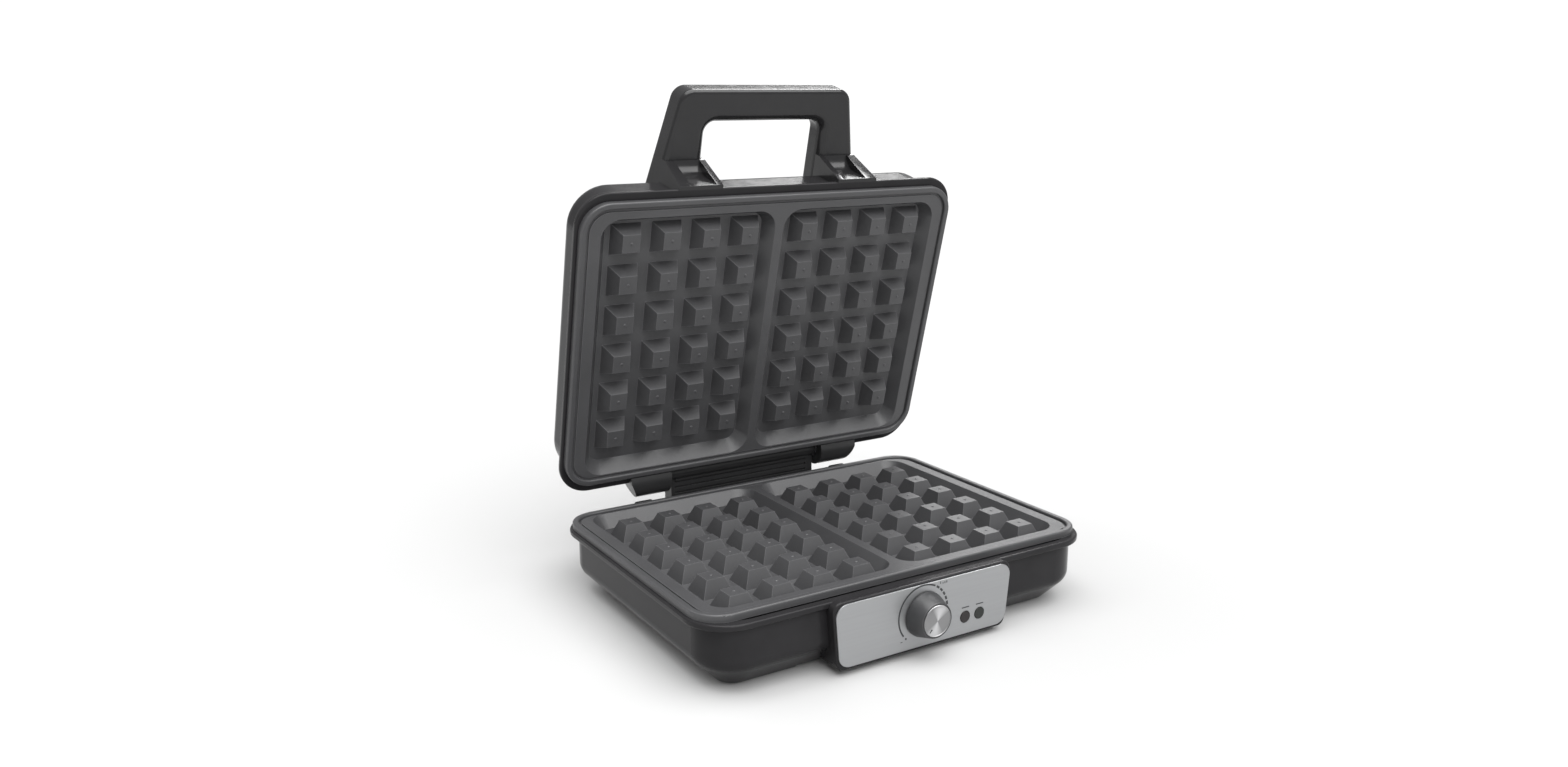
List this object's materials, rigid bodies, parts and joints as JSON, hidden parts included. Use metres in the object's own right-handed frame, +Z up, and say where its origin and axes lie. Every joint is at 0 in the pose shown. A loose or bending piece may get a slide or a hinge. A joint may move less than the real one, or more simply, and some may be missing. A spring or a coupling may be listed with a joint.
{
  "type": "waffle maker",
  "caption": "Clamshell waffle maker with deep-pocket plates, a hinged lid with a loop handle and a thermostat dial on the front.",
  "frame": {"origin": "on the table, below the middle of the box that the open waffle maker fills", "axes": "+X to the right as seen from the dial's side, +Y towards the hinge, +Z up; the lid stands open"},
  "size_m": [0.2644, 0.2422, 0.3038],
  "materials": {
    "housing": "fine satin dark grey plastic",
    "plate": "cast aluminium with dark non-stick coating",
    "feet": "matte black rubber",
    "faceplate": "horizontally brushed",
    "handle": "satin dark grey plastic",
    "hinge_plastic": "satin dark plastic",
    "knob": "semi-gloss dark plastic",
    "knob_metal": "spun aluminium disc",
    "red_lens": "smoked red, unlit",
    "green_lens": "smoked green, unlit",
    "lamp": "small indicator bulbs",
    "steel": "zinc-plated steel",
    "element": "heat-tinted steel sheath",
    "reflector": "bright folded sheet",
    "thermostat": "moulded ceramic-filled body with threaded neck",
    "terminal": "pale moulded block",
    "brass": "plain brass",
    "fuse": "small crimped can"
  },
  "bodies": {
    "base": {"base_housing": "housing", "rubber_feet": "feet", "lower_plate": "plate", "lower_element": "element", "lower_reflector": "reflector", "lower_plate_screws": "steel", "control_bezel": "housing", "control_faceplate": "faceplate", "power_light_lens": "red_lens", "ready_light_lens": "green_lens", "indicator_lamps": "lamp", "thermostat_body": "thermostat", "thermostat_nut": "steel", "hinge_tower": "hinge_plastic", "tower_screws": "steel", "left_hinge_pin": "steel", "right_hinge_pin": "steel", "terminal_block": "terminal", "terminal_screws": "brass", "cord_gland": "hinge_plastic", "thermal_fuse": "fuse"},
    "knob": {"thermostat_knob": "knob", "knob_cap": "knob_metal", "thermostat_shaft": "steel"},
    "lid": {"lid_shell": "housing", "upper_plate": "plate", "upper_element": "element", "upper_reflector": "reflector", "upper_plate_screws": "steel", "screw_plugs": "housing", "handle": "handle", "handle_screws": "steel", "left_hinge_lug": "hinge_plastic", "right_hinge_lug": "hinge_plastic", "lug_screws": "steel", "hinge_washers": "steel"}
  },
  "joints": [
    {"name": "lid_hinge", "type": "hinge", "parent": "base", "child": "lid", "pos_m": [0, 0.0918, 0.05865], "axis": [-1, 0, 0], "range_deg": [-75.7, 29.3]},
    {"name": "thermostat_turn", "type": "hinge", "parent": "base", "child": "knob", "pos_m": [-0.0015, -0.1101, 0.024], "axis": [0, 1, 0], "range_deg": [0, 240]}
  ]
}
